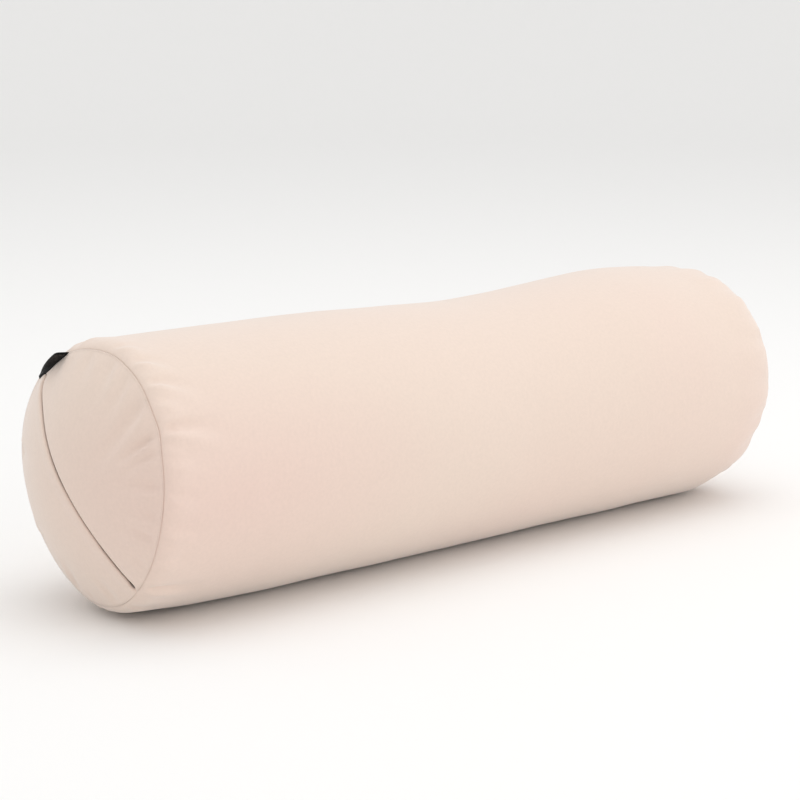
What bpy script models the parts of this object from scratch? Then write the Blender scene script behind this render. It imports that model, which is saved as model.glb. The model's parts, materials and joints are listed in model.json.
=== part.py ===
"""A zipped bolster pillow, modelled piece by piece as it comes apart on a bench.

The world frame has +X along the bolster, from the zipped end to the plain end, and +Z up. The origin
is the middle of the footprint, on the ground. Units are metres.

The bolster is a set of nested turned shells that all sag onto the ground by the same rule, so the
layers stay nested. The zip crosses the round end along a diameter, and that end is a shallow dome, so
the slider runs on an arc about the dome's own centre.
"""

import math
from dataclasses import dataclass

import bmesh
import bpy
from mathutils import Matrix, Vector

MM = 0.001

# Outer form of the cover
SEAM_SPACING = 661 * MM          # between the two round seams
FULL_RADIUS = 102.6 * MM         # plain radius of the body
SIT = 2.0 * MM                   # how far the body flattens onto the ground
NEAR_LIFT = 6.0 * MM             # how far the zipped end rides up
LIFT_LENGTH = 130 * MM           # over which that rise fades out
NEAR_RISE = 28.4 * MM            # height of the zipped end's dome
FAR_RISE = 31.0 * MM             # height of the plain end's dome
SIDES = 24                       # facets round the body, with one flat on the ground
STATION_PITCH = 50 * MM          # between the rings of facets along the body

# Gentle swells of the body: middle and half width as fractions of half the length, then height
SWELLS = (
    (-1.00, 0.20, -3.0 * MM),    # drawn in at the zipped end
    (0.12, 0.30, -2.3 * MM),     # waist
    (0.62, 0.30, 2.2 * MM),      # fullest part
)

# Cloth and seams
COVER_CLOTH = 1.0 * MM
LINER_CLOTH = 0.6 * MM
GAP = 0.3 * MM                   # between pieces that touch
ALLOWANCE = 8.0 * MM             # cloth turned in at a round seam
SEAM_SLOT = 1.6 * MM             # between the two turned-in edges
THREAD = 0.5 * MM                # overlock thread over those edges
OVERLOCK_GRIP = 1.5 * MM         # how far the thread reaches up the cloth
LONG_SEAM_ANGLE = -30.0          # degrees, round on the back, under the widest part
LONG_SEAM_WIDTH = 9.0 * MM
LONG_SEAM_THICKNESS = 1.2 * MM

# Inner pillow
LINER_INSET = 4.0 * MM           # liner below the cover's outer face
WRAP_INSET = 5.4 * MM            # fibre wrap below the same face
PAD_CLEARANCE = 1.4 * MM         # end pads inside the liner
CORE_RADIUS = 60 * MM
NEAR_PAD_DEPTH = 26 * MM
FAR_PAD_DEPTH = 54 * MM

# Zip, whose places on the arc are in degrees from the middle of the dome
ZIP_ANGLE = 49.2                 # direction across the end in which the slider opens
SLIT = 2.0 * MM
TAPE_END = 29.0
FIRST_TOOTH = -27.5
LAST_TOOTH = 26.3
TEETH = 44
TOOTH_REACH = 1.2 * MM           # from the cord in towards the slit
PARKED = -26.0                   # slider when closed
SLIDER_HALF_LENGTH = 1.5
TOP_STOP = -28.4
BOTTOM_STOP = 27.0
STOP_LENGTH = 0.5

# Zip sections as (depth below the dome, distance from the slit's middle), in millimetres
TAPE_OUTER = ((7.0, 2.9), (7.0, 4.2), (4.6, 7.0), (2.2, 10.5), (3.0, 16.0))
TAPE_THICKNESS = 0.6
CORD_SECTION = ((6.2, 1.8), (6.2, 2.6), (8.4, 2.6), (8.4, 1.8))
TOP_STOP_SECTION = ((6.0, 0.6), (6.0, 2.6), (8.6, 2.6), (8.6, 0.6))
BOTTOM_STOP_SECTION = ((6.0, -2.6), (6.0, 2.6), (8.6, 2.6), (8.6, -2.6))
SLIDER_HALF_SECTION = (
    (4.8, 3.4), (6.7, 3.4), (6.7, 2.9), (5.9, 2.9), (5.9, 0.4),
    (8.7, 0.4), (8.7, 2.9), (7.9, 2.9), (7.9, 3.4), (9.8, 3.4),
)
PIVOT_DEPTH = 3.0 * MM
LUG_RADIUS = 1.4 * MM
LUG_INNER = 1.0 * MM
LUG_OUTER = 1.8 * MM
LUG_FOOT = 5.2 * MM              # depth reached by the lugs' feet inside the top plate
PIN_RADIUS = 0.6 * MM
EYE_HOLE = 0.95 * MM
PULL_LENGTH = 16 * MM
PULL_WIDTH = 1.4 * MM
PULL_NECK = 0.6 * MM             # half thickness of the pull's bar

# Label in the zipped end's seam
LABEL_FROM = 46.0                # degrees round the seam
LABEL_TO = 70.0
LABEL_ROOT = 88 * MM
LABEL_PROUD = 9 * MM
LABEL_LEAN = 20.0                # degrees towards the dome
LABEL_THICKNESS = 1.0 * MM


@dataclass(frozen=True)
class End:
    """One round end of a shell: its seam circle, the dome beyond it and the shoulder before it."""

    seam_x: float
    outward: int
    seam_radius: float
    rise: float
    shoulder: float

    @property
    def arc_radius(self):
        """Radius of the arc that the dome is turned from."""
        return (self.seam_radius**2 + self.rise**2) / (2 * self.rise)

    @property
    def arc_centre(self):
        """Place of that arc's centre along X."""
        return self.seam_x + self.outward * (self.rise - self.arc_radius)

    def inside(self, distance):
        """Place along X, a distance inward from the seam."""
        return self.seam_x - self.outward * distance

    def radius_at(self, inset, beyond):
        """Radius of the dome, inset by a thickness, at a distance outward from the seam."""
        along = self.arc_radius - self.rise + beyond
        return math.sqrt((self.arc_radius - inset) ** 2 - along**2)

    def dome(self, inset, edge_radius, steps):
        """Points along the dome, from its apex out to the given radius."""
        arc = self.arc_radius - inset
        widest = math.asin(edge_radius / arc)
        angles = [widest * step / steps for step in range(steps + 1)]
        return [(self.arc_centre + self.outward * arc * math.cos(a), arc * math.sin(a)) for a in angles]

    def shoulder_path(self, inset, start, steps):
        """Points over the shoulder, from the seam circle to the straight body."""
        top = fullness(self.inside(self.shoulder)) - inset
        path = []
        for step in range(steps + 1):
            a = math.pi / 2 * step / steps
            along = start + (self.shoulder - start) * (1 - math.cos(a))
            path.append((self.inside(along), self.seam_radius + (top - self.seam_radius) * math.sin(a)))
        return path


# Both ends are set out so that the whole bolster is centred on the origin.
MIDDLE_X = (NEAR_RISE - FAR_RISE) / 2
NEAR = End(MIDDLE_X - SEAM_SPACING / 2, -1, 93.5 * MM, NEAR_RISE, 13.3 * MM)
FAR = End(MIDDLE_X + SEAM_SPACING / 2, 1, 89.0 * MM, FAR_RISE, 47.0 * MM)
LINER_NEAR = End(NEAR.inside(4 * MM), -1, 80.0 * MM, 19.4 * MM, 22.0 * MM)
LINER_FAR = End(FAR.inside(4 * MM), 1, 76.0 * MM, 29.0 * MM, 50.0 * MM)


def fullness(x):
    """Radius of the body at x, without the shoulders."""
    along = (x - MIDDLE_X) / (SEAM_SPACING / 2)
    swelling = (height * math.exp(-(((along - mid) / width) ** 2)) for mid, width, height in SWELLS)
    return FULL_RADIUS + sum(swelling)


def girth(x):
    """Outer radius of the cover at x, with its shoulders, held at the seam's radius on the domes."""
    for end in (NEAR, FAR):
        along = (end.seam_x - x) * end.outward
        if along < end.shoulder:
            share = 1 - min(max(along / end.shoulder, 0.0), 1.0)
            top = fullness(end.inside(end.shoulder))
            return end.seam_radius + (top - end.seam_radius) * math.sqrt(1 - share**2)
    return fullness(x)


def axis_height(x):
    """Height of the bolster's axis above the ground at x."""
    clear = min(max(x, NEAR.inside(NEAR.shoulder)), FAR.inside(FAR.shoulder))
    fade = max(0.0, 1 - (clear - NEAR.inside(NEAR.shoulder)) / LIFT_LENGTH)
    return fullness(clear) - SIT + NEAR_LIFT * fade**2


def settle(point):
    """Move a point of the round form to where it lies when the bolster rests on the ground."""
    height = axis_height(point.x)
    radius = math.hypot(point.y, point.z)
    scale = 1.0
    if point.z < 0:
        scale = min(1.0, height / (girth(point.x) * -point.z / radius))
    return Vector((point.x, point.y * scale, height + point.z * scale))


def parallel(path, distance):
    """Offset an (x, radius) path to the right of its direction of travel."""
    points = [Vector(p) for p in path]
    normals = []
    for a, b in zip(points, points[1:]):
        direction = (b - a).normalized()
        normals.append(Vector((direction.y, -direction.x)))
    offset = [points[0] + normals[0] * distance]
    for point, before, after in zip(points[1:], normals, normals[1:]):
        bisector = (before + after).normalized()
        offset.append(point + bisector * (distance / bisector.dot(after)))
    offset.append(points[-1] + normals[-1] * distance)
    return [tuple(p) for p in offset]


def along_body(start, stop, inset):
    """Points along the body between two places, inset from the cover's outer face.

    Every layer shares the stations between its own ends, so the layers keep their spacing.
    """
    shared = (MIDDLE_X + STATION_PITCH * step for step in range(-6, 7))
    places = [start, *(x for x in shared if start + STATION_PITCH / 5 < x < stop - STATION_PITCH / 5), stop]
    return [(x, fullness(x) - inset) for x in places]


def skin(near, far, inset, start):
    """Outer path of a body shell from one seam circle to the other."""
    near_shoulder = near.shoulder_path(inset, start, 5)
    far_shoulder = far.shoulder_path(inset, start, 5)
    straight = along_body(near_shoulder[-1][0], far_shoulder[-1][0], inset)
    return near_shoulder + straight[1:-1] + far_shoulder[::-1]


def material(name, colour, roughness, metallic=0.0):
    """A plain Principled finish."""
    made = bpy.data.materials.new(name)
    made.use_nodes = True
    shader = made.node_tree.nodes["Principled BSDF"]
    shader.inputs["Base Color"].default_value = (*colour, 1.0)
    shader.inputs["Roughness"].default_value = roughness
    shader.inputs["Metallic"].default_value = metallic
    return made


def finish(name, bm, surface, parent=None):
    """Close a bmesh into a named object with outward faces, soft shading and its own material."""
    bmesh.ops.recalc_face_normals(bm, faces=bm.faces[:])
    mesh = bpy.data.meshes.new(name)
    bm.to_mesh(mesh)
    bm.free()
    mesh.shade_smooth()
    mesh.set_sharp_from_angle(angle=math.radians(35))
    mesh.materials.append(material(name, *surface))
    made = bpy.data.objects.new(name, mesh)
    made.parent = parent
    bpy.context.scene.collection.objects.link(made)
    return made


def turned(outline):
    """Spin an (x, radius) outline round the bolster's axis and settle it on the ground.

    An outline that starts on the axis is left open there; any other outline is closed on itself.
    """
    bm = bmesh.new()
    start = math.radians(-90 + 180 / SIDES)
    verts = [bm.verts.new((x, r * math.cos(start), r * math.sin(start))) for x, r in outline]
    edges = [bm.edges.new(pair) for pair in zip(verts, verts[1:])]
    if outline[0][1] > 0:
        edges.append(bm.edges.new((verts[-1], verts[0])))
    bmesh.ops.spin(
        bm, geom=verts + edges, cent=(0, 0, 0), axis=(1, 0, 0),
        angle=2 * math.pi, steps=SIDES, use_merge=True, use_duplicate=False,
    )
    bmesh.ops.remove_doubles(bm, verts=bm.verts[:], dist=0.01 * MM)
    for vert in bm.verts:
        vert.co = settle(vert.co)
    return bm


def swept(section, start, stop, steps, axis=(0, 0, 1)):
    """Sweep a flat closed section of points about an axis through the origin, between two angles."""
    bm = bmesh.new()
    turn = Matrix.Rotation(math.radians(start), 3, axis)
    face = bm.faces.new([bm.verts.new(turn @ Vector(p)) for p in section])
    bmesh.ops.spin(
        bm, geom=[face, *face.verts, *face.edges], cent=(0, 0, 0), axis=axis,
        angle=math.radians(stop - start), steps=steps, use_merge=False, use_duplicate=False,
    )
    return bm


def drawn(outline, half_width):
    """Extrude a closed (x, y) outline to both sides along Z."""
    bm = bmesh.new()
    face = bm.faces.new([bm.verts.new((x, y, -half_width)) for x, y in outline])
    raised = bmesh.ops.extrude_face_region(bm, geom=[face])
    top = [item for item in raised["geom"] if isinstance(item, bmesh.types.BMVert)]
    bmesh.ops.translate(bm, verts=top, vec=(0, 0, 2 * half_width))
    return bm


def panel_outline(end):
    """Outline of a domed end panel with its edge turned in, from outer apex to inner apex."""
    face = SEAM_SLOT / 2
    back = face + COVER_CLOTH
    edge = end.seam_radius - ALLOWANCE
    outer = end.dome(0.0, end.radius_at(0.0, face), 7)
    inner = end.dome(COVER_CLOTH, end.radius_at(COVER_CLOTH, back), 7)
    turned_in = [(end.inside(-face), edge), (end.inside(-back), edge)]
    return outer + turned_in + inner[::-1]


def body_outline():
    """Closed outline of the cover's body, with its edges turned in at both seams."""
    face = SEAM_SLOT / 2
    outer = skin(NEAR, FAR, 0.0, face)
    outer.insert(0, (NEAR.inside(face), NEAR.seam_radius - ALLOWANCE))
    outer.append((FAR.inside(face), FAR.seam_radius - ALLOWANCE))
    return outer + parallel(outer, COVER_CLOTH)[::-1]


def overlock_outline(end):
    """U section of the thread that binds both turned-in edges of a round seam."""
    edge = end.seam_radius - ALLOWANCE
    within = SEAM_SLOT / 2 + COVER_CLOTH + GAP
    without = within + THREAD
    top = edge + OVERLOCK_GRIP
    half = [(without, top), (without, edge - GAP - THREAD)]
    slot = [(within, edge - GAP), (within, top)]
    mirrored = [(-x, r) for x, r in half[::-1]]
    mirrored_slot = [(-x, r) for x, r in slot[::-1]]
    return [(end.seam_x + x, r) for x, r in half + mirrored + mirrored_slot + slot]


def half_panel(name, surface, side):
    """One half of the zipped end panel, cut along the slit."""
    bm = turned(panel_outline(NEAR))
    across = ZIP_FRAME.to_3x3() @ Vector((0, 0, side))
    bmesh.ops.bisect_plane(
        bm, geom=[*bm.verts, *bm.edges, *bm.faces], dist=0.001 * MM,
        plane_co=ZIP_FRAME.translation + across * (SLIT / 2), plane_no=across, clear_inner=True,
    )
    rim = [edge for edge in bm.edges if edge.is_boundary]
    bmesh.ops.triangle_fill(bm, use_beauty=True, edges=rim)
    return finish(name, bm, surface)


def liner_end_outline(end):
    """Outline of a thin domed end of the liner, from outer apex to inner apex."""
    edge = end.seam_radius - GAP
    return end.dome(0.0, edge, 5) + end.dome(LINER_CLOTH, edge, 5)[::-1]


def pad_outline(end, depth):
    """Outline of the fibre pad that fills one end of the liner."""
    shell = end.dome(0.0, end.seam_radius - GAP, 4) + end.shoulder_path(LINER_INSET, 0.0, 4)
    if end.outward < 0:
        inner = parallel(shell, PAD_CLEARANCE)
    else:
        inner = parallel(shell[::-1], PAD_CLEARANCE)[::-1]
    inner[0] = (inner[0][0], 0.0)
    back = end.inside(depth)
    return inner + [(back, inner[-1][1]), (back, 0.0)]


def long_seam():
    """The bound allowance of the body's long seam, lying flat on one facet inside the cover."""
    face_angle = math.radians(LONG_SEAM_ANGLE)
    outward = Vector((0, math.cos(face_angle), math.sin(face_angle)))
    around = Vector((0, -math.sin(face_angle), math.cos(face_angle)))
    bm = bmesh.new()
    loops = []
    for x, radius in along_body(NEAR.inside(30 * MM), FAR.inside(60 * MM), COVER_CLOTH):
        outer = radius * math.cos(math.pi / SIDES) - 2 * GAP
        inner = outer - LONG_SEAM_THICKNESS
        base = Vector((x, 0, axis_height(x)))
        corners = ((outer, -0.5), (outer, 0.5), (inner, 0.5), (inner, -0.5))
        verts = [bm.verts.new(base + outward * r + around * (w * LONG_SEAM_WIDTH)) for r, w in corners]
        loops.append([bm.edges.new(pair) for pair in zip(verts, verts[1:] + verts[:1])])
    for first, second in zip(loops, loops[1:]):
        bmesh.ops.bridge_loops(bm, edges=first + second)
    bmesh.ops.holes_fill(bm, edges=loops[0] + loops[-1])
    return bm


def label_section():
    """Flat section of the label: a root between the turned-in edges, then a free flap leaning out."""
    bend = NEAR.seam_radius + 1 * MM
    lean = math.radians(LABEL_LEAN)
    half = LABEL_THICKNESS / 2
    tip = (-LABEL_PROUD * math.sin(lean), bend + LABEL_PROUD * math.cos(lean))
    spine = [(0.0, LABEL_ROOT), (0.0, bend), tip]
    right = parallel(spine, half)
    left = parallel(spine, -half)
    fold = (tip[0] - half * math.sin(lean), tip[1] + half * math.cos(lean))
    outline = left + [fold] + right[::-1]
    return [(NEAR.seam_x + x, r, 0.0) for x, r in outline]


def arc_section(section, side=1):
    """Turn a zip section of (depth, across) millimetres into points of the zip's own frame."""
    return [(NEAR.arc_radius - depth * MM, 0.0, side * across * MM) for depth, across in section]


def teeth(side):
    """One row of zip teeth standing on the cord that joins them."""
    bm = swept(arc_section(CORD_SECTION, side), FIRST_TOOTH, LAST_TOOTH, 2 * TEETH - 1)
    bmesh.ops.recalc_face_normals(bm, faces=bm.faces[:])
    inner = [face for face in bm.faces if face.normal.z * side < -0.9]
    inner.sort(key=lambda face: face.calc_center_median().y)
    raised = bmesh.ops.extrude_discrete_faces(bm, faces=inner[::2])
    tips = {vert for face in raised["faces"] for vert in face.verts}
    bmesh.ops.translate(bm, verts=list(tips), vec=(0, 0, -side * TOOTH_REACH))
    return bm


def lug_outline():
    """Side view of a slider lug: a round top on straight legs, in the slider's own frame."""
    centre = NEAR.arc_radius - PIVOT_DEPTH
    foot = NEAR.arc_radius - LUG_FOOT
    angles = [math.radians(-90 + 22.5 * step) for step in range(9)]
    top = [(centre + LUG_RADIUS * math.cos(a), LUG_RADIUS * math.sin(a)) for a in angles]
    return [(foot, -LUG_RADIUS), *top, (foot, LUG_RADIUS)]


def pull_outline():
    """Side view of the pull about its pivot: a round eye that narrows into a bar with a round tip."""
    eye = [math.radians(20 - 22 * step) for step in range(11)]
    tip = [math.radians(180 - 45 * step) for step in range(5)]
    reach = PULL_LENGTH - PULL_NECK
    points = [(LUG_RADIUS * math.cos(a), LUG_RADIUS * math.sin(a)) for a in eye]
    return points + [(PULL_NECK * math.cos(a), reach + PULL_NECK * math.sin(a)) for a in tip]


def rod(radius, length, sides):
    """A round rod along Z, centred on the origin."""
    bm = bmesh.new()
    bmesh.ops.create_cone(bm, cap_ends=True, segments=sides, radius1=radius, radius2=radius, depth=length)
    return bm


def combine(target, tool, operation):
    """Join or cut a piece with a hidden tool object that moves with it."""
    tool.parent = target
    tool.hide_render = True
    tool.display_type = "WIRE"
    modifier = target.modifiers.new(tool.name, "BOOLEAN")
    modifier.operation = operation
    modifier.solver = "EXACT"
    modifier.object = tool


def zip_frame():
    """Frame of the zip: X out of the dome, Y the way the slider opens, Z across the slit."""
    angle = math.radians(ZIP_ANGLE)
    out = Vector((-1, 0, 0))
    opening = Vector((0, math.cos(angle), math.sin(angle)))
    frame = Matrix((out, opening, out.cross(opening))).transposed().to_4x4()
    frame.translation = (NEAR.arc_centre, 0, axis_height(NEAR.seam_x))
    return frame


ZIP_FRAME = zip_frame()
COVER = ((0.84, 0.69, 0.60), 0.85)
LINER = ((0.90, 0.88, 0.84), 0.90)
FIBRE = ((0.93, 0.93, 0.92), 0.95)
THREADS = ((0.80, 0.66, 0.57), 0.80)
TAPE = ((0.31, 0.24, 0.20), 0.80)
PLASTIC = ((0.36, 0.29, 0.24), 0.45)
METAL = ((0.78, 0.72, 0.66), 0.35, 1.0)
BLACK = ((0.01, 0.01, 0.011), 0.75)


def build_cover():
    """The removable cover: body, end panels, bound seams and label."""
    finish("cover_body", turned(body_outline()), COVER)
    half_panel("near_end_panel_lower", COVER, 1)
    half_panel("near_end_panel_upper", COVER, -1)
    finish("far_end_panel", turned(panel_outline(FAR)), COVER)
    finish("near_seam_overlock", turned(overlock_outline(NEAR)), THREADS)
    finish("far_seam_overlock", turned(overlock_outline(FAR)), THREADS)
    finish("body_seam_binding", long_seam(), THREADS)
    label = swept(label_section(), LABEL_FROM, LABEL_TO, 4, axis=(1, 0, 0))
    bmesh.ops.translate(label, verts=label.verts[:], vec=(0, 0, axis_height(NEAR.seam_x)))
    finish("woven_label", label, BLACK)


def build_zip():
    """The zip across the round end, with its slider and pull as moving pieces."""
    centre = bpy.data.objects.new("zip_centre", None)
    bpy.context.scene.collection.objects.link(centre)
    centre.matrix_world = ZIP_FRAME
    tape_inner = [(depth + TAPE_THICKNESS, across) for depth, across in TAPE_OUTER[::-1]]
    for word, side in (("lower", 1), ("upper", -1)):
        tape = swept(arc_section((*TAPE_OUTER, *tape_inner), side), -TAPE_END, TAPE_END, 14)
        finish(f"zip_tape_{word}", tape, TAPE, centre)
        finish(f"zip_teeth_{word}", teeth(side), PLASTIC, centre)
        stop = swept(arc_section(TOP_STOP_SECTION, side), TOP_STOP, TOP_STOP + STOP_LENGTH, 1)
        finish(f"zip_top_stop_{word}", stop, METAL, centre)
    stop = swept(arc_section(BOTTOM_STOP_SECTION), BOTTOM_STOP, BOTTOM_STOP + STOP_LENGTH, 1)
    finish("zip_bottom_stop", stop, METAL, centre)

    section = [*SLIDER_HALF_SECTION, *((depth, -across) for depth, across in SLIDER_HALF_SECTION[::-1])]
    slider = finish(
        "zip_slider", swept(arc_section(section), -SLIDER_HALF_LENGTH, SLIDER_HALF_LENGTH, 3), METAL, centre
    )
    slider.rotation_euler.z = math.radians(PARKED)
    pivot = (NEAR.arc_radius - PIVOT_DEPTH, 0, 0)
    lug_half_width = (LUG_OUTER - LUG_INNER) / 2
    for word, side in (("lower", 1), ("upper", -1)):
        lug = finish(f"lug_{word}", drawn(lug_outline(), lug_half_width), METAL)
        lug.location.z = side * (LUG_INNER + LUG_OUTER) / 2
        combine(slider, lug, "UNION")
    pin = finish("lug_pin", rod(PIN_RADIUS, 2 * LUG_OUTER - LUG_INNER / 2, 12), METAL)
    pin.location = pivot
    combine(slider, pin, "UNION")

    pull = finish("zip_pull", drawn(pull_outline(), PULL_WIDTH / 2), METAL, slider)
    pull.location = pivot
    combine(pull, finish("eye_hole", rod(EYE_HOLE, 2 * PULL_WIDTH, 16), METAL), "DIFFERENCE")


def build_inner_pillow():
    """The filled inner pillow: liner, end pads, fibre wrap and rolled core."""
    outer = skin(LINER_NEAR, LINER_FAR, LINER_INSET, 0.0)
    finish("liner_body", turned(outer + parallel(outer, LINER_CLOTH)[::-1]), LINER)
    finish("liner_near_end", turned(liner_end_outline(LINER_NEAR)), LINER)
    finish("liner_far_end", turned(liner_end_outline(LINER_FAR)), LINER)
    finish("near_fibre_pad", turned(pad_outline(LINER_NEAR, NEAR_PAD_DEPTH)), FIBRE)
    finish("far_fibre_pad", turned(pad_outline(LINER_FAR, FAR_PAD_DEPTH)), FIBRE)
    start = LINER_NEAR.inside(NEAR_PAD_DEPTH + 1 * MM)
    stop = LINER_FAR.inside(FAR_PAD_DEPTH + 1 * MM)
    sleeve = along_body(start, stop, WRAP_INSET)
    bore = CORE_RADIUS + 2 * GAP
    lining = [(x, bore) for x, _ in sleeve]
    finish("fibre_wrap", turned(sleeve + lining[::-1]), FIBRE)
    roll = [(start, 0.0), *((x, CORE_RADIUS) for x, _ in sleeve), (stop, 0.0)]
    finish("batting_roll", turned(roll), FIBRE)


def main():
    """Clear the scene and build the bolster."""
    for item in list(bpy.data.objects):
        bpy.data.objects.remove(item)
    build_cover()
    build_zip()
    build_inner_pillow()


main()
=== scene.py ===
"""Looks of a zipped bolster pillow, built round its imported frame.

The bolster lies along X with its zipped end at the low end. Its cover is cloth over a filled inner
pillow: a sleeve, a zipped round end in two halves and a plain round end. All the cloth pieces share one
form, so that their seams meet, and each adds its own creases.
"""

from __future__ import annotations

import json
import logging
import math
import random
from dataclasses import dataclass, field
from enum import Enum
from typing import Callable, Sequence

import bmesh
import bpy
from mathutils import Matrix, Vector, noise


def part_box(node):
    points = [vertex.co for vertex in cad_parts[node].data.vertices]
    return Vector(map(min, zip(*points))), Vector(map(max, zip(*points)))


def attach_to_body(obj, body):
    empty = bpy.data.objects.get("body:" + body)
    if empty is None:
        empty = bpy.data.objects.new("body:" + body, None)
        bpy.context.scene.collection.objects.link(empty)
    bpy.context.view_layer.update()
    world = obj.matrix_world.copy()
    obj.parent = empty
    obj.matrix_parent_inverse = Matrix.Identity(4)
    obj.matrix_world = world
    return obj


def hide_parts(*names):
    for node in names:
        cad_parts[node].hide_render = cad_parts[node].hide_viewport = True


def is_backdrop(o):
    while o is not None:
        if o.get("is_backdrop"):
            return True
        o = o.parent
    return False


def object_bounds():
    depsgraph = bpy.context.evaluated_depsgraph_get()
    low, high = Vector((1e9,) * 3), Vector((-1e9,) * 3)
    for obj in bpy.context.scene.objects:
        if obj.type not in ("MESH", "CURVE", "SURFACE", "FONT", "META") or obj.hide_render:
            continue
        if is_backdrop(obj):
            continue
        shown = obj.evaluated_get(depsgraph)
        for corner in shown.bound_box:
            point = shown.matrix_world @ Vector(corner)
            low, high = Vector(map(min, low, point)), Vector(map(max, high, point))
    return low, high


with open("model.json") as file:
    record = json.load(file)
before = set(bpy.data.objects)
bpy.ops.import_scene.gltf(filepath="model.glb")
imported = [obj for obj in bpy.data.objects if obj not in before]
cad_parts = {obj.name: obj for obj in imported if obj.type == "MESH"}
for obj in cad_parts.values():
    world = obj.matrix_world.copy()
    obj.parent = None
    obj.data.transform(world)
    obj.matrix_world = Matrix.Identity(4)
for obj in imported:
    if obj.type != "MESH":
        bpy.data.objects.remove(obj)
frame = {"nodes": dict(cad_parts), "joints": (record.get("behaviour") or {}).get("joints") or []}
CAD_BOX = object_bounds()

LOG = logging.getLogger("bolster")
MM = 0.001
MERGE = 0.01 * MM  # points nearer to each other than this are one point
FOLD_REACH = 40  # degrees round a seam within which a fold is felt

Relief = Callable[[float, float, float], float]


class Coordinates(Enum):
    """Which coordinates a finish is laid out on, named by the Texture Coordinate node's sockets."""

    CLOTH = "UV"
    SPACE = "Object"


# --------------------------------------------------------------------------- form


@dataclass(frozen=True)
class RoundEnd:
    """One round end: its seam circle, the dome beyond it and the shoulder before it."""

    seam_x: float
    outward: int
    seam_radius: float
    rise: float
    shoulder: float
    shoulder_start: float = 0.0

    @property
    def arc_radius(self) -> float:
        """Radius of the arc that the dome is turned from."""
        return (self.seam_radius**2 + self.rise**2) / (2 * self.rise)

    @property
    def arc_centre(self) -> float:
        """Place of that arc's centre along X."""
        return self.seam_x + self.outward * (self.rise - self.arc_radius)

    def away(self, x: float) -> float:
        """Distance from the seam along X, counted inward."""
        return (self.seam_x - x) * self.outward

    def inside(self, distance: float) -> float:
        """Place along X at a distance inward from the seam."""
        return self.seam_x - self.outward * distance

    def dome_x(self, radius: float) -> float:
        """Place along X of the dome's surface at a radius."""
        return self.arc_centre + self.outward * math.sqrt(self.arc_radius**2 - radius**2)


@dataclass(frozen=True)
class Swell:
    """A gentle swell or hollow along the body."""

    middle: float
    width: float
    height: float

    def at(self, along: float) -> float:
        """Height at a place along the body, from -1 at one seam to 1 at the other."""
        return self.height * math.exp(-(((along - self.middle) / self.width) ** 2))


@dataclass(frozen=True)
class SeamDrift:
    """How far the zipped end's seam strays from a flat circle, out along X."""

    tilt: float = 4.0 * MM
    lean: float = 2.4 * MM
    saddle: float = -3.0 * MM
    twist: float = -3.2 * MM
    tugs: tuple[tuple[float, float, float], ...] = (
        (102, 9, 1.0 * MM),
        (138, 8, -0.6 * MM),
        (150, 5, 0.8 * MM),
        (162, 7, -0.5 * MM),
        (-127, 12, -0.7 * MM),
    )

    def at(self, angle: float) -> float:
        """Offset of the seam along X.

        Args:
            angle: Place round the seam, in radians.

        Returns:
            The offset.
        """
        return (
            self.tilt * math.cos(angle)
            + self.lean * math.sin(angle)
            + self.saddle * math.cos(2 * angle)
            + self.twist * math.sin(2 * angle)
            + sum(self.tug(angle, *tug) for tug in self.tugs)
        )

    @staticmethod
    def tug(angle: float, middle: float, width: float, height: float) -> float:
        """Offset from one short tug of the cloth, placed in degrees."""
        turn = (math.degrees(angle) - middle + 180) % 360 - 180
        return height * math.exp(-((turn / width) ** 2))


@dataclass(frozen=True)
class Dent:
    """A broad hollow in the stuffing, or a rise where the height is positive."""

    x: float
    angle: float
    height: float
    length: float
    width: float

    def at(self, x: float, angle: float, radius: float) -> float:
        """Height that the dent gives to a place on the cloth.

        Args:
            x: Place along the bolster.
            angle: Place round it, in radians.
            radius: Distance from its axis.

        Returns:
            The height, which is negative in a hollow.
        """
        turn = (angle - math.radians(self.angle) + math.pi) % (2 * math.pi) - math.pi
        along = (x - self.x) / self.length
        return self.height * math.exp(-(along**2) - (turn * radius / self.width) ** 2)


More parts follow.
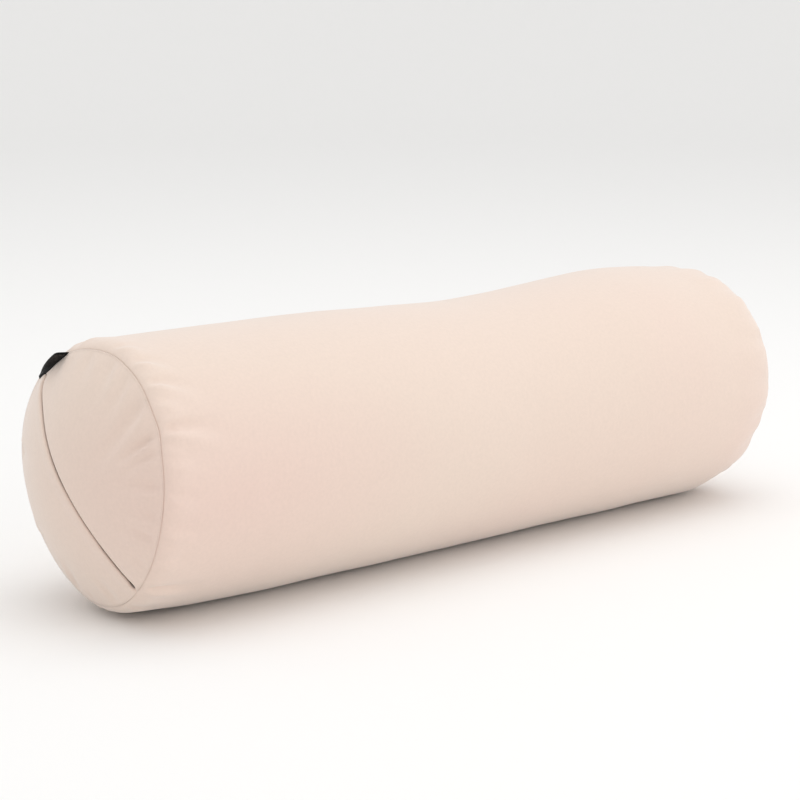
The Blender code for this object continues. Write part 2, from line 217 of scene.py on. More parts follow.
class BolsterForm:
    """The form that every cloth piece of the bolster shares."""

    full_radius = 102.6 * MM
    sit = 2.0 * MM
    near_lift = 6.0 * MM
    lift_length = 130 * MM
    drift_length = 170 * MM
    contact_softness = 2.0 * MM
    swells = (Swell(-1.0, 0.20, -3.0 * MM), Swell(0.12, 0.30, -2.6 * MM), Swell(0.62, 0.30, 2.2 * MM))
    label_angle = math.radians(55.8)
    label_half_angle = math.radians(13.8)
    label_reach = 14 * MM
    shoulder_gap = 0.55 * MM
    shoulder_rise = 0.2 * MM
    lip_reach = (0.27, 0.12, 0.10)
    lip_drop = (0.35, 1.1)

    def __init__(self) -> None:
        """Read the seams' places from the frame."""
        joint = next(j for j in frame["joints"] if j["name"] == "zip_slide")
        self.zip_centre = Vector(joint["pos_m"])
        self.zip_across = Vector(joint["axis"])
        self.zip_opening = self.zip_across.cross(Vector((-1, 0, 0)))
        near_x = self.middle_of("near_seam_overlock")
        far_x = self.middle_of("far_seam_overlock")
        near_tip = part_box("near_end_panel_upper")[0][0]
        far_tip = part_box("far_end_panel")[1][0]
        self.near = RoundEnd(near_x, -1, 93.5 * MM, near_x - near_tip, 13.3 * MM, math.radians(20))
        self.far = RoundEnd(far_x, 1, 89.0 * MM, far_tip - far_x, 47.0 * MM)
        self.middle_x = (near_x + far_x) / 2
        self.half_length = (far_x - near_x) / 2
        self.drift = SeamDrift()
        self.dents = (
            Dent(far_x - 6 * MM, -153, -3.2 * MM, 22 * MM, 30 * MM),
            Dent(far_x - 10 * MM, 132, 3.4 * MM, 26 * MM, 60 * MM),
            Dent(far_x - 36 * MM, 78, -1.5 * MM, 18 * MM, 50 * MM),
            Dent(far_x - 115 * MM, 76, 1.2 * MM, 40 * MM, 70 * MM),
            Dent(far_x - 20 * MM, -122, -2.9 * MM, 15 * MM, 15 * MM),
        )

    @staticmethod
    def middle_of(node: str) -> float:
        """Middle of a node's box along X."""
        low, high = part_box(node)
        return (low[0] + high[0]) / 2

    def fullness(self, x: float) -> float:
        """Radius of the body at x, without its shoulders."""
        along = (x - self.middle_x) / self.half_length
        return self.full_radius + sum(swell.at(along) for swell in self.swells)

    def axis_height(self, x: float) -> float:
        """Height of the bolster's axis above the ground.

        Args:
            x: Place along the bolster.

        Returns:
            The height, which is a little more towards the zipped end.
        """
        start = self.near.inside(self.near.shoulder)
        clear = min(max(x, start), self.far.inside(self.far.shoulder))
        fade = max(0.0, 1 - (clear - start) / self.lift_length)
        return self.fullness(clear) - self.sit + self.near_lift * fade**2

    def drift_share(self, x: float, radius: float) -> float:
        """How much of the zipped seam's drift a point takes.

        Args:
            x: Place along the bolster.
            radius: Distance from the bolster's axis.

        Returns:
            The share, which is 1 at the seam.
        """
        if x < self.near.seam_x:
            return (radius / self.near.seam_radius) ** 3
        return max(0.0, 1 - (x - self.near.seam_x) / self.drift_length) ** 2

    def place(self, x: float, radius: float, angle: float) -> Vector:
        """Put a point of the round form where it lies on the stuffed bolster, before it meets the ground.

        Args:
            x: Place along the bolster.
            radius: Distance from the bolster's axis.
            angle: Angle round the axis, in radians, from +Y towards +Z.

        Returns:
            The point in world metres.
        """
        shift = self.drift.at(angle) * self.drift_share(x, radius)
        full = radius - self.label_flat(x, angle) + sum(dent.at(x, angle, radius) for dent in self.dents)
        return Vector((x + shift, full * math.cos(angle), self.axis_height(x) + full * math.sin(angle)))

    def label_flat(self, x: float, angle: float) -> float:
        """How far the label's root pulls the zipped seam in to a straight line.

        Args:
            x: Place along the bolster.
            angle: Angle round the axis, in radians.

        Returns:
            The distance inward.
        """
        off = angle - self.label_angle
        if abs(off) >= self.label_half_angle:
            return 0.0
        sag = self.near.seam_radius * (1 - math.cos(self.label_half_angle) / math.cos(off))
        return sag * math.exp(-(((x - self.near.seam_x) / self.label_reach) ** 2))

    def ground(self, height: float) -> float:
        """Height of a point once the ground holds it up, with a soft edge to the contact.

        Args:
            height: Height of the point before it meets the ground.

        Returns:
            The height, which is never below the ground.
        """
        soft = self.contact_softness
        if height > soft:
            return height
        if height < -soft:
            return 0.0
        return (height + soft) ** 2 / (4 * soft)

    def shoulder_path(self, end: RoundEnd, steps: int) -> list[tuple[float, float]]:
        """Points over a shoulder, from the seam circle to the straight body.

        Args:
            end: The end whose shoulder it is.
            steps: Number of steps over the shoulder.

        Returns:
            The points as (x, radius).
        """
        top = self.fullness(end.inside(end.shoulder))
        first = end.shoulder_start
        start = end.seam_radius + self.shoulder_rise
        path = []
        for step in range(steps + 1):
            turn = first + (math.pi / 2 - first) * step / steps
            along = self.shoulder_gap + end.shoulder * (1 - math.cos(turn) / math.cos(first))
            rise = (math.sin(turn) - math.sin(first)) / (1 - math.sin(first))
            path.append((end.inside(along), start + (top - start) * rise))
        return path

    def seam_lip(self, end: RoundEnd, side: int, depth: float) -> list[tuple[float, float]]:
        """Points down a seam's rounded lip into its groove.

        Args:
            end: The end whose seam it is.
            side: 1 for the sleeve's side of the seam, -1 for the end panel's.
            depth: How far the groove goes down.

        Returns:
            The points as (x, radius), from the surface down.
        """
        drops = (*self.lip_drop, depth / MM)
        return [
            (end.inside(side * reach * MM), end.seam_radius - drop * MM)
            for reach, drop in zip(self.lip_reach, drops)
        ]

    def panel_outline(self, end: RoundEnd, rings: int, groove: float) -> list[tuple[float, float]]:
        """Outline of a round end, from the dome's apex to the seam's groove.

        Args:
            end: The end.
            rings: Number of steps from the apex to the seam.
            groove: How far the groove goes down.

        Returns:
            The points as (x, radius).
        """
        edge = end.seam_radius - 0.9 * MM
        radii = [edge * step / rings for step in range(rings + 1)]
        return [*((end.dome_x(radius), radius) for radius in radii), *self.seam_lip(end, -1, groove)]


# --------------------------------------------------------------------------- cloth


@dataclass(frozen=True)
class Fold:
    """A tuck that runs away from a round seam: a groove with a ridge along one side."""

    angle: float
    depth: float
    width: float
    length: float
    slant: float = 0.0
    curl: float = 0.0
    rise = 6.0 * MM
    narrow = 0.6
    spread = 1.3
    ridge_place = 1.6
    ridge_share = 0.5
    felt_widths = 5

    def relief(self, around: float, away: float) -> float:
        """Height of the cloth at a point near the fold.

        Args:
            around: Distance round the seam from the fold's root.
            away: Distance from the seam.

        Returns:
            The height in metres, which is negative in the groove.
        """
        if away <= 0 or away >= self.length:
            return 0.0
        share = away / self.length
        strength = (1 - math.exp(-((away / self.rise) ** 2))) * (1 - share) ** 2 * (1 + 2 * share)
        width = self.width * (self.narrow + self.spread * share)
        offset = (around - (self.slant + self.curl * share) * away) / width
        if abs(offset) > self.felt_widths:
            return 0.0
        groove = math.exp(-(offset**2))
        ridge = math.exp(-((offset - self.ridge_place) ** 2))
        return self.depth * strength * (self.ridge_share * ridge - groove)


def fold(
    angle: float, depth: float, width: float, length: float, slant: float = 0.0, curl: float = 0.0
) -> Fold:
    """A fold given in degrees and millimetres."""
    return Fold(angle, depth * MM, width * MM, length * MM, slant, curl)


def small_folds(seed: int, spacing: float, depth: float, length: float) -> list[Fold]:
    """Many small tucks round a seam, at uneven places.

    Args:
        seed: Seed of the uneven spacing.
        spacing: Mean spacing in degrees.
        depth: Largest depth in millimetres.
        length: Largest length in millimetres.

    Returns:
        The folds.
    """
    draw = random.Random(seed)
    folds = []
    angle = -180.0
    while angle < 180.0:
        angle += spacing * draw.uniform(0.5, 1.5)
        size = draw.uniform(0.3, 1.0)
        slant = draw.uniform(-0.25, 0.25)
        width = draw.uniform(2.2, 4.0)
        folds.append(fold(angle, depth * size, width, length * (0.4 + 0.6 * size), slant))
    return folds


def gathers(seed: int, spacing: float, depth: float, width: float, length: float) -> list[Fold]:
    """Broad soft gathers round a seam, at uneven places.

    Args:
        seed: Seed of the uneven spacing.
        spacing: Mean spacing in degrees.
        depth: Largest depth in millimetres.
        width: Mean width in millimetres.
        length: Largest length in millimetres.

    Returns:
        The folds.
    """
    draw = random.Random(seed)
    folds = []
    angle = -180.0
    while angle < 165.0:
        angle += spacing * draw.uniform(0.7, 1.3)
        size = draw.uniform(0.6, 1.0)
        broad = width * draw.uniform(0.8, 1.2)
        folds.append(fold(angle, depth * size, broad, length * size, draw.uniform(-0.1, 0.1)))
    return folds


def folds_relief(folds: Sequence[Fold], angle: float, away: float, radius: float) -> float:
    """Sum of the folds' heights at a point.

    Args:
        folds: The folds round one seam.
        angle: Angle of the point round the axis, in radians.
        away: Distance of the point from the seam.
        radius: Radius that turns angles into distances round the seam.

    Returns:
        The height in metres.
    """
    total = 0.0
    for item in folds:
        turn = (math.degrees(angle) - item.angle + 180) % 360 - 180
        if abs(turn) < FOLD_REACH:
            total += item.relief(math.radians(turn) * radius, away)
    return total


def turned(outline: Sequence[tuple[float, float]], sides: int, start: float) -> bmesh.types.BMesh:
    """Spin an (x, radius) outline round the X axis.

    Args:
        outline: Points of the outline, in order.
        sides: Number of steps round the axis.
        start: Angle of the first step, in radians.

    Returns:
        The turned surface.
    """
    bm = bmesh.new()
    verts = [bm.verts.new((x, r * math.cos(start), r * math.sin(start))) for x, r in outline]
    edges = [bm.edges.new(pair) for pair in zip(verts, verts[1:])]
    bmesh.ops.spin(
        bm, geom=verts + edges, cent=(0, 0, 0), axis=(1, 0, 0),
        angle=2 * math.pi, steps=sides, use_merge=True, use_duplicate=False,
    )
    bmesh.ops.remove_doubles(bm, verts=bm.verts[:], dist=MERGE)
    bmesh.ops.recalc_face_normals(bm, faces=bm.faces[:])
    return bm


def face_outward(bm: bmesh.types.BMesh, centre: Vector) -> None:
    """Turn an open surface so that its faces look away from a point.

    Args:
        bm: The surface.
        centre: A point on its inner side.
    """
    face = max(bm.faces, key=lambda f: (f.calc_center_median() - centre).length)
    if face.normal.dot(face.calc_center_median() - centre) < 0:
        bmesh.ops.reverse_faces(bm, faces=bm.faces[:])


def lay_cloth(bm: bmesh.types.BMesh, form: BolsterForm, relief: Relief) -> None:
    """Give a turned surface the bolster's form, raise its creases and rest it on the ground.

    Args:
        bm: The turned surface, still about the X axis.
        form: The shared form.
        relief: Height of the cloth for a place along X, a radius and an angle.
    """
    heights = {}
    for vert in bm.verts:
        x, y, z = vert.co
        radius = math.hypot(y, z)
        angle = math.atan2(z, y)
        heights[vert] = relief(x, radius, angle)
        vert.co = form.place(x, radius, angle)
    bm.normal_update()
    for vert in bm.verts:
        vert.co += vert.normal * heights[vert]
        vert.co.z = form.ground(vert.co.z)


def wrap_uv(bm: bmesh.types.BMesh, radius: float) -> None:
    """Lay the cloth's own coordinates, in metres, round and along a turned sleeve.

    Args:
        bm: The sleeve.
        radius: Radius that turns angles into distances round the sleeve.
    """
    layer = bm.loops.layers.uv.new("Cloth")
    for face in bm.faces:
        middle = face.calc_center_median()
        base = math.atan2(middle.z, middle.y)
        for loop in face.loops:
            turn = math.atan2(loop.vert.co.z, loop.vert.co.y) - base
            turn = (turn + math.pi) % (2 * math.pi) - math.pi
            loop[layer].uv = ((base + turn) * radius, loop.vert.co.x)


def flat_uv(bm: bmesh.types.BMesh, turn: float) -> None:
    """Lay the cloth's own coordinates, in metres, flat across a round end.

    Args:
        bm: The round end.
        turn: Angle between the cloth's threads and the Y axis, in radians.
    """
    layer = bm.loops.layers.uv.new("Cloth")
    rotation = Matrix.Rotation(-turn, 2)
    for face in bm.faces:
        for loop in face.loops:
            loop[layer].uv = rotation @ Vector((loop.vert.co.y, loop.vert.co.z))


def as_piece(name: str, bm: bmesh.types.BMesh) -> bpy.types.Object:
    """Make an object of a finished surface, shaded smooth.

    Args:
        name: Name of the object and its mesh.
        bm: The surface, which is freed.

    Returns:
        The object.
    """
    mesh = bpy.data.meshes.new(name)
    bm.to_mesh(mesh)
    bm.free()
    mesh.shade_smooth()
    piece = bpy.data.objects.new(name, mesh)
    bpy.context.scene.collection.objects.link(piece)
    return piece


def thicken(piece: bpy.types.Object, thickness: float) -> None:
    """Give a cloth surface its thickness, inward.

    Args:
        piece: The piece, whose faces point outward.
        thickness: The cloth's thickness.
    """
    modifier = piece.modifiers.new("Cloth thickness", "SOLIDIFY")
    modifier.thickness = thickness
    modifier.offset = -1.0


def undulation(point: Vector, size: float, height: float) -> float:
    """Soft unevenness of stuffed cloth, with lumps of a given size and height."""
    return height * noise.noise(point / size)


@dataclass
class CoverSleeve:
    """The sleeve of the cover, from one round seam to the other, with its long seam at the back."""

    form: BolsterForm
    sides: int = 288
    long_seam: float = math.radians(-30)
    long_seam_depth: float = 1.0 * MM
    long_seam_width: float = 1.1 * MM
    fold_limit: float = 2.4 * MM
    groove: float = 4.0 * MM
    cloth: float = 0.9 * MM
    shoulder_steps: tuple[int, int] = (12, 18)
    fine_step: float = 3 * MM
    broad_step: float = 9 * MM
    fine_length: float = 80 * MM
    near_fold_reach: float = 60 * MM
    far_fold_reach: float = 80 * MM
    tucks: tuple[Fold, ...] = (
        fold(98, 1.6, 5, 26, 0.3, 0.2),
        fold(113, 2.4, 4.5, 38, 0.2, 0.2),
        fold(127, 3.6, 5.0, 48, 0.15, 0.15),
        fold(138, 2.0, 4.0, 30, 0.0, -0.2),
        fold(151, 4.4, 5.0, 60, -0.15, 0.3),
        fold(163, 2.0, 4.5, 32, 0.1, -0.2),
        fold(177, 1.6, 5.0, 34, 0.1, 0.1),
        fold(-168, 1.8, 5.0, 40, -0.1, 0.2),
        fold(-153, 1.5, 4.0, 28, 0.0, -0.2),
        fold(-136, 3.6, 4.0, 50, -0.15, 0.2),
        fold(-119, 1.8, 5.0, 34, 0.0, 0.2),
        fold(-84, 2.0, 5.0, 36, 0.1, -0.1),
        fold(-52, 2.6, 5.0, 46, 0.15, -0.2),
        fold(-12, 2.2, 5.0, 42, -0.1, 0.2),
        fold(18, 3.0, 5.0, 50, 0.1, 0.1),
        fold(74, 2.4, 4.0, 36, 0.2, 0.1),
    )
    near_folds: list[Fold] = field(init=False)
    far_folds: list[Fold] = field(init=False)

    def __post_init__(self) -> None:
        """Add the small tucks and the gathers."""
        self.near_folds = [*self.tucks, *small_folds(5, 9, 0.9, 20)]
        self.far_folds = [*gathers(8, 18, 2.0, 9, 75), *small_folds(21, 9, 0.9, 26)]

    def outline(self) -> list[tuple[float, float]]:
        """Outline of the sleeve from the near seam's groove to the far seam's groove.

        Returns:
            The points as (x, radius).
        """
        form = self.form
        near_steps, far_steps = self.shoulder_steps
        near = form.shoulder_path(form.near, near_steps)
        far = form.shoulder_path(form.far, far_steps)
        path = [*form.seam_lip(form.near, 1, self.groove)[::-1], *near]
        x = near[-1][0]
        while x < far[-1][0] - 10 * MM:
            x += self.fine_step if x < form.near.inside(self.fine_length) else self.broad_step
            path.append((x, form.fullness(x)))
        return [*path, *far[::-1], *form.seam_lip(form.far, 1, self.groove)]

    def relief(self, x: float, radius: float, angle: float) -> float:
        """Height of the sleeve's cloth.

        Args:
            x: Place along the bolster.
            radius: Distance from the bolster's axis.
            angle: Angle round the axis, in radians.

        Returns:
            The height in metres.
        """
        form = self.form
        near_away = form.near.away(x)
        far_away = form.far.away(x)
        height = 0.0
        if near_away < self.near_fold_reach:
            height += folds_relief(self.near_folds, angle, near_away, form.full_radius)
        if far_away < self.far_fold_reach:
            height += folds_relief(self.far_folds, angle, far_away, form.full_radius)
        seam_allowance = 2 * MM * math.exp(-min(near_away, far_away) / (8 * MM))
        height = max(height, -self.fold_limit - seam_allowance)
        beside_seam = (angle - self.long_seam) * form.full_radius / self.long_seam_width
        height -= self.long_seam_depth * math.exp(-(beside_seam**2))
        spot = Vector((x, radius * math.cos(angle), radius * math.sin(angle)))
        inner = min(1.0, near_away / (30 * MM), far_away / (60 * MM))
        height += inner * undulation(spot, 70 * MM, 0.7 * MM)
        return height + inner * undulation(spot, 28 * MM, 0.18 * MM)

    def build(self) -> bpy.types.Object:
        """Model the sleeve.

        Returns:
            The sleeve.
        """
        form = self.form
        bm = turned(self.outline(), self.sides, self.long_seam)
        face_outward(bm, Vector((form.middle_x, 0, 0)))
        step = 2 * math.pi / self.sides * 1.01
        beside = [
            edge for edge in bm.edges
            if abs(edge.verts[0].co.x - edge.verts[1].co.x) < MERGE
            and all(abs(math.atan2(v.co.z, v.co.y) - self.long_seam) < step for v in edge.verts)
        ]
        bmesh.ops.subdivide_edges(bm, edges=beside, cuts=2, use_grid_fill=True)
        wrap_uv(bm, form.full_radius)
        lay_cloth(bm, form, self.relief)
        piece = as_piece("cover_sleeve", bm)
        thicken(piece, self.cloth)
        return piece


@dataclass
class ZippedEnd:
    """The zipped round end: two half moons of cloth whose rolled edges nearly meet over the zip."""

    form: BolsterForm
    sides: int = 240
    rings: int = 42
    groove: float = 4.0 * MM
    cloth: float = 0.9 * MM
    roll_width: float = 1.3 * MM
    roll_drop: float = 1.7 * MM
    roll_hem: float = 1.2 * MM
    roll_steps: int = 6
    fold_limit: float = 2.7 * MM
    lump_height: float = 0.7 * MM
    label_ridge: float = 1.6 * MM
    label_ridge_width: float = 9 * MM
    lip_height: float = 0.5 * MM
    closed_slit: float = 0.12
    tucks: tuple[Fold, ...] = (
        fold(88, 1.6, 6, 32, 0.1, 0.2),
        fold(104, 1.8, 6, 36, 0.3, 0.2),
        fold(118, 2.0, 6, 42, 0.35, 0.1),
        fold(134, 3.6, 9, 66, 0.35, 0.2),
        fold(151, 3.4, 3.8, 48, 0.15, 0.2),
        fold(159, 2.4, 3.4, 36, 0.1, 0.2),
        fold(174, 2.6, 4.4, 44, 0.0, -0.1),
        fold(-172, 2.2, 4.4, 40, 0.0, 0.1),
        fold(-161, 2.4, 5.0, 44, -0.1, 0.1),
        fold(-147, 1.6, 5.0, 30),
        fold(-110, 1.8, 5.0, 32, 0.0, 0.2),
        fold(-75, 2.2, 6.0, 40, 0.1, -0.2),
        fold(-40, 2.0, 6.0, 36, -0.1, 0.1),
        fold(5, 2.2, 6.0, 42, 0.1, 0.1),
    )

    folds: list[Fold] = field(init=False)

    def __post_init__(self) -> None:
        """Add the small tucks."""
        self.folds = [*self.tucks, *small_folds(11, 9, 0.8, 18)]

    def slit_half_width(self, along: float) -> float:
        """Half the gap between the rolled edges.

        Args:
            along: Place along the zip, from its middle towards the label.

        Returns:
            Half the gap: closed at both seams, with more room for the parked slider and by the label.
        """
        share = along / self.form.near.seam_radius
        width = 0.5 + 0.35 / (1 + math.exp(-(share + 0.05) / 0.06))
        width += 0.35 * math.exp(-(((share + 0.72) / 0.16) ** 4))
        width += 0.9 * math.exp(-(((share + 0.94) / 0.035) ** 2))
        closing = min(1.0, max(0.0, (0.93 - share) / 0.12)) * min(1.0, max(0.0, (share + 1.02) / 0.05))
        return (self.closed_slit + (width - self.closed_slit) * closing) * MM

    def relief(self, x: float, radius: float, angle: float) -> float:
        """Height of the end's cloth.

        Args:
            x: Place along the bolster.
            radius: Distance from the bolster's axis.
            angle: Angle round the axis, in radians.

        Returns:
            The height in metres.
        """
        near = self.form.near
        if x > near.seam_x - 0.4 * MM:
            return 0.0
        away = near.seam_radius - radius
        height = max(-self.fold_limit, folds_relief(self.folds, angle, away, near.seam_radius))
        spot = Vector((x + 1.0, radius * math.cos(angle), radius * math.sin(angle)))
        inner = min(1.0, away / (20 * MM))
        height += inner * undulation(spot, 60 * MM, self.lump_height)
        flat = Vector((0, spot.y, spot.z))
        across = flat.dot(self.form.zip_across)
        along = flat.dot(self.form.zip_opening) / near.seam_radius
        ridge = math.exp(-(((along - 0.86) / 0.16) ** 2) - (across / self.label_ridge_width) ** 2)
        height += self.label_ridge * ridge * min(1.0, away / (8 * MM))
        if across > 0:
            return height + self.lip_height * math.exp(-(((across - 4 * MM) / (4 * MM)) ** 2))
        return height - self.lip_height * math.exp(-((across / (5 * MM)) ** 2))

    def build(self) -> list[bpy.types.Object]:
        """Model the two halves.

        Returns:
            The upper half and the lower half.
        """
        return [self.half("end_panel_upper", -1), self.half("end_panel_lower", 1)]

    def half(self, name: str, side: int) -> bpy.types.Object:
        """Model one half, on one side of the zip.

        Args:
            name: Name of the piece.
            side: 1 on the side that the zip's across direction points to, or -1.

        Returns:
            The piece.
        """
        form = self.form
        bm = turned(form.panel_outline(form.near, self.rings, self.groove), self.sides, 0.0)
        face_outward(bm, Vector((form.near.arc_centre, 0, 0)))
        flat_uv(bm, math.atan2(form.zip_across.y, -form.zip_across.z))
        lay_cloth(bm, form, self.relief)
        across = form.zip_across * side
        cut = 0.9 * MM + self.roll_width
        bmesh.ops.bisect_plane(
            bm, geom=[*bm.verts, *bm.edges, *bm.faces], dist=MERGE / 10,
            plane_co=form.zip_centre + across * cut, plane_no=across, clear_inner=True,
        )
        self.roll_edge(bm, across, cut)
        piece = as_piece(name, bm)
        thicken(piece, self.cloth)
        return piece

    def roll_edge(self, bm: bmesh.types.BMesh, across: Vector, cut: float) -> None:
        """Roll the cut edge in towards the zip and down.

        Args:
            bm: The half panel, cut flat along the zip.
            across: Direction from the zip towards this half.
            cut: Distance of the cut from the zip's middle.
        """
        centre = self.form.zip_centre
        opening = self.form.zip_opening
        flat = bm.verts.layers.float_vector.new("flat")
        edges = [
            edge for edge in bm.edges
            if edge.is_boundary
            and all(abs((vert.co - centre).dot(across) - cut) < MERGE for vert in edge.verts)
        ]
        for edge in edges:
            for vert in edge.verts:
                vert[flat] = vert.co
        turns = [math.pi / 2 * (step + 1) / self.roll_steps for step in range(self.roll_steps)]
        for turn in [*turns, None]:
            raised = bmesh.ops.extrude_edge_only(bm, edges=edges)["geom"]
            edges = [item for item in raised if isinstance(item, bmesh.types.BMEdge) and item.is_boundary]
            for vert in {vert for edge in edges for vert in edge.verts}:
                start = vert[flat]
                out = start - centre
                out = (out - across * out.dot(across)).normalized()
                inward = across * (cut - self.slit_half_width((start - centre).dot(opening)))
                if turn is None:
                    vert.co = start - inward - out * (self.roll_drop + self.roll_hem)
                else:
                    drop = out * self.roll_drop * (1 - math.cos(turn))
                    vert.co = start - inward * math.sin(turn) - drop
        bm.verts.layers.float_vector.remove(flat)


@dataclass
class PlainEnd:
    """The plain round end, with a shallow dent low on one side."""

    form: BolsterForm
    sides: int = 192
    rings: int = 34
    groove: float = 4.0 * MM
    cloth: float = 0.9 * MM
    dent_angle: float = math.radians(-150)
    dent_radius: float = 62 * MM
    dent_width: float = 17 * MM
    dent_depth: float = 4.0 * MM
    lump_height: float = 0.8 * MM
    folds: list[Fold] = field(default_factory=lambda: small_folds(17, 10, 1.0, 30))

    def relief(self, x: float, radius: float, angle: float) -> float:
        """Height of the end's cloth.

        Args:
            x: Place along the bolster.
            radius: Distance from the bolster's axis.
            angle: Angle round the axis, in radians.

        Returns:
            The height in metres.
        """
        far = self.form.far
        if x < far.seam_x + 0.4 * MM:
            return 0.0
        away = far.seam_radius - radius
        spot = Vector((x, radius * math.cos(angle), radius * math.sin(angle)))
        height = folds_relief(self.folds, angle, away, far.seam_radius)
        height += min(1.0, away / (20 * MM)) * undulation(spot, 60 * MM, self.lump_height)
        dent = Vector((math.cos(self.dent_angle), math.sin(self.dent_angle))) * self.dent_radius
        off = (Vector((spot.y, spot.z)) - dent).length / self.dent_width
        return height - self.dent_depth * math.exp(-(off**2))

    def build(self) -> bpy.types.Object:
        """Model the plain end.

        Returns:
            The piece.
        """
        form = self.form
        bm = turned(form.panel_outline(form.far, self.rings, self.groove), self.sides, 0.0)
        face_outward(bm, Vector((form.far.arc_centre, 0, 0)))
        flat_uv(bm, 0.0)
        lay_cloth(bm, form, self.relief)
        piece = as_piece("end_panel_far", bm)
        thicken(piece, self.cloth)
        return piece


@dataclass
class DriftedParts:
    """Hidden parts beside the zipped seam, which follow the seam where it strays from a flat circle."""

    form: BolsterForm

    def build(
        self, node: str, name: str, narrow: float = 1.0, shift: float = 0.0, outward: bool = False
    ) -> bpy.types.Object:
        """Model a hidden part from the frame's own shape.

        Args:
            node: The frame node.
            name: Name of the piece.
            narrow: How much of the part's length it keeps, about its middle.
            shift: How far the part moves in under the sleeve.
            outward: Whether the part also follows the seam out towards the dome.

        Returns:
            The piece.
        """
        form = self.form
        middle = form.middle_of(node)
        bm = bmesh.new()
        bm.from_mesh(frame["nodes"][node].data)
        bmesh.ops.remove_doubles(bm, verts=bm.verts[:], dist=MERGE)
        height = form.axis_height(form.near.seam_x)
        for vert in bm.verts:
            x, y, z = vert.co
            angle = math.atan2(z - height, y)
            share = form.drift_share(x, math.hypot(y, z - height))
            drift = form.drift.at(angle)
            if not outward:
                drift = max(0.0, drift)
            vert.co.x = middle + (x - middle) * narrow + shift + drift * share
        return as_piece(name, bm)


@dataclass
class ZipTapes:
    """The two tapes of the zip, which follow the end's cloth on their outer edges."""

    form: BolsterForm
    reach: float = math.radians(29)
    steps: int = 48
    thickness: float = 0.6 * MM
    level_width: float = 4 * MM
    follow_width: float = 5 * MM
    profile: tuple[tuple[float, float], ...] = (
        (7.0 * MM, 2.9 * MM),
        (7.0 * MM, 4.2 * MM),
        (4.8 * MM, 6.6 * MM),
        (2.9 * MM, 9.0 * MM),
        (2.4 * MM, 11.0 * MM),
        (2.6 * MM, 13.5 * MM),
        (3.0 * MM, 16.0 * MM),
    )

    def build(self) -> list[bpy.types.Object]:
        """Model both tapes.

        Returns:
            The upper tape and the lower tape.
        """
        return [self.tape("zip_tape_cloth_upper", -1), self.tape("zip_tape_cloth_lower", 1)]

    def tape(self, name: str, side: int) -> bpy.types.Object:
        """Model one tape.

        Args:
            name: Name of the piece.
            side: 1 on the side that the zip's across direction points to, or -1.

        Returns:
            The piece.
        """
        form = self.form
        bm = bmesh.new()
        start = Matrix.Rotation(-self.reach, 3, -form.zip_across)
        out = Vector((-1, 0, 0))
        verts = []
        for depth, across in self.profile:
            arm = start @ (out * (form.near.arc_radius - depth))
            verts.append(bm.verts.new(form.zip_centre + arm + form.zip_across * (side * across)))
        edges = [bm.edges.new(pair) for pair in zip(verts, verts[1:])]
        bmesh.ops.spin(
            bm, geom=verts + edges, cent=form.zip_centre, axis=-form.zip_across,
            angle=2 * self.reach, steps=self.steps, use_merge=False, use_duplicate=False,
        )
        bmesh.ops.recalc_face_normals(bm, faces=bm.faces[:])
        face_outward(bm, form.zip_centre)
        layer = bm.loops.layers.uv.new("Cloth")
        for face in bm.faces:
            for loop in face.loops:
                arm = loop.vert.co - form.zip_centre
                turn = math.atan2(arm.dot(form.zip_opening), -arm.x)
                loop[layer].uv = (turn * form.near.arc_radius, arm.dot(form.zip_across))
        for vert in bm.verts:
            arm = vert.co - form.zip_centre
            across = abs(arm.dot(form.zip_across))
            share = min(1.0, max(0.0, (across - self.level_width) / self.follow_width))
            drift_share = form.drift_share(vert.co.x, math.hypot(arm.y, arm.z))
            vert.co.x += share * form.drift.at(math.atan2(arm.z, arm.y)) * drift_share
        piece = as_piece(name, bm)
        thicken(piece, self.thickness)
        return piece


@dataclass
class SewnLabel:
    """The folded ribbon label caught in the zipped end's seam, twisted along its length."""

    form: BolsterForm
    start: float = math.radians(69.6)
    stop: float = math.radians(44)
    proud: float = 12 * MM
    root: float = 5 * MM
    leaf_gap: float = 0.7 * MM
    ribbon: float = 0.35 * MM
    grid: tuple[int, int] = (26, 28)
    fold_sharpness: float = 5.0
    first_lean: Vector = Vector((-1.0, 0.0, 0.08))
    last_lean: Vector = Vector((0.55, 0.82, -0.17))

    def build(self) -> bpy.types.Object:
        """Model the label.

        Returns:
            The piece.
        """
        form = self.form
        near = form.near
        height = form.axis_height(near.seam_x)
        first = form.place(near.seam_x, near.seam_radius - 0.5 * MM, self.start)
        last = form.place(near.seam_x, near.seam_radius + 1.5 * MM, self.stop)
        inward = Vector((0, 0, height)) - (first + last) / 2
        inward.x = 0
        inward.normalize()
        along = (last - first).normalized()
        bm = bmesh.new()
        bmesh.ops.create_grid(bm, x_segments=self.grid[0], y_segments=self.grid[1], size=0.5)
        layer = bm.loops.layers.uv.new("Cloth")
        length = (last - first).length
        for face in bm.faces:
            for loop in face.loops:
                loop[layer].uv = (loop.vert.co.x * length, loop.vert.co.y * 2 * self.proud)
        for vert in bm.verts:
            share, turn = vert.co.x + 0.5, vert.co.y + 0.5
            twist = math.pi / 2 * share
            lean = self.first_lean * math.cos(twist) + self.last_lean * math.sin(twist)
            face = lean.cross(along).normalized()
            leaf = 1 - abs(2 * turn - 1)
            out = leaf * (self.proud + self.root) - self.root
            apart = self.leaf_gap / 2 * max(-1.0, min(1.0, (1 - 2 * turn) * self.fold_sharpness))
            spot = first.lerp(last, share) + face * apart
            spot += lean * max(0.0, out) + inward * max(0.0, -out)
            vert.co = spot
        bmesh.ops.recalc_face_normals(bm, faces=bm.faces[:])
        piece = as_piece("label_ribbon", bm)
        thicken(piece, self.ribbon)
        return piece


# --------------------------------------------------------------------------- finishes


